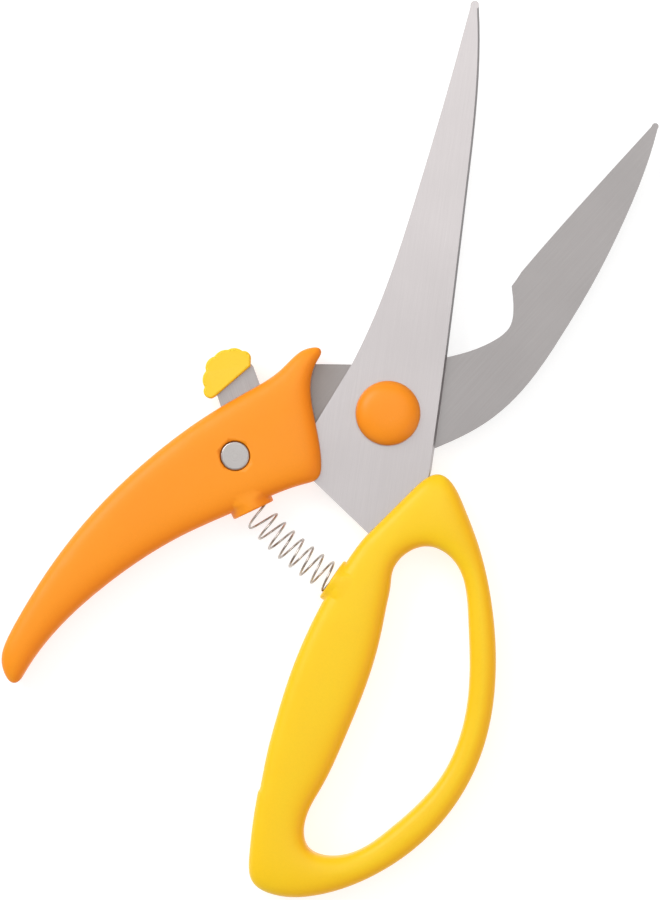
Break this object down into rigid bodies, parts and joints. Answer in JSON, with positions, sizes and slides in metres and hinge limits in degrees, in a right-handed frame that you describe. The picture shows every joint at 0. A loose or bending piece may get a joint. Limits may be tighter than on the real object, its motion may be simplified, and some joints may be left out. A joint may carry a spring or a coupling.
{
  "type": "poultry shears",
  "caption": "Spring-opened shears for cutting up poultry: a straight blade and a notched blade on a pivot, a closed finger loop, a curved thumb handle and a swinging lock.",
  "frame": {"origin": "on the pivot axis, at the centre of the flat land of the rear cap, in the plane that the shears lie on", "axes": "+Z out of the front face along the pivot axis, +Y from the pivot to the tip of the straight blade, +X towards the notched blade's side in the open pose"},
  "size_m": [0.1466, 0.2519, 0.013],
  "materials": {
    "bright_blade_steel": "fine lengthwise brushing, light satin",
    "dark_blade_steel": "fine crosswise brushing, darker satin",
    "lever_steel": "rolled steel sheet, satin",
    "fastener_steel": "satin, slightly domed rivet heads",
    "spring_steel": "drawn wire",
    "yellow_plastic": "semi-gloss moulded plastic",
    "tab_plastic": "semi-gloss moulded plastic",
    "orange_plastic": "semi-gloss moulded plastic"
  },
  "bodies": {
    "loop_half": {"straight_blade": "bright_blade_steel", "loop_handle": "yellow_plastic", "front_cap": "orange_plastic", "rear_cap": "orange_plastic", "pivot_bolt": "fastener_steel", "pivot_nut": "fastener_steel", "pivot_washer": "fastener_steel", "return_spring": "spring_steel"},
    "thumb_half": {"notched_blade": "dark_blade_steel", "thumb_handle": "orange_plastic", "rivet_sleeve": "fastener_steel", "rivet_pin": "fastener_steel"},
    "lock": {"lock_lever": "lever_steel", "lock_tab": "tab_plastic"}
  },
  "joints": [
    {"name": "pivot", "type": "hinge", "parent": "loop_half", "child": "thumb_half", "pos_m": [0, 0, 0.0065], "axis": [0, 0, 1], "range_deg": [0, 31], "stiffness_Nm_per_rad": 0.65, "springref_deg": -6.88, "deforming": ["return_spring"]},
    {"name": "lock_swing", "type": "hinge", "parent": "thumb_half", "child": "lock", "pos_m": [-0.0386, -0.0202, 0.0076], "axis": [0, 0, 1], "range_deg": [-12, 0]}
  ]
}
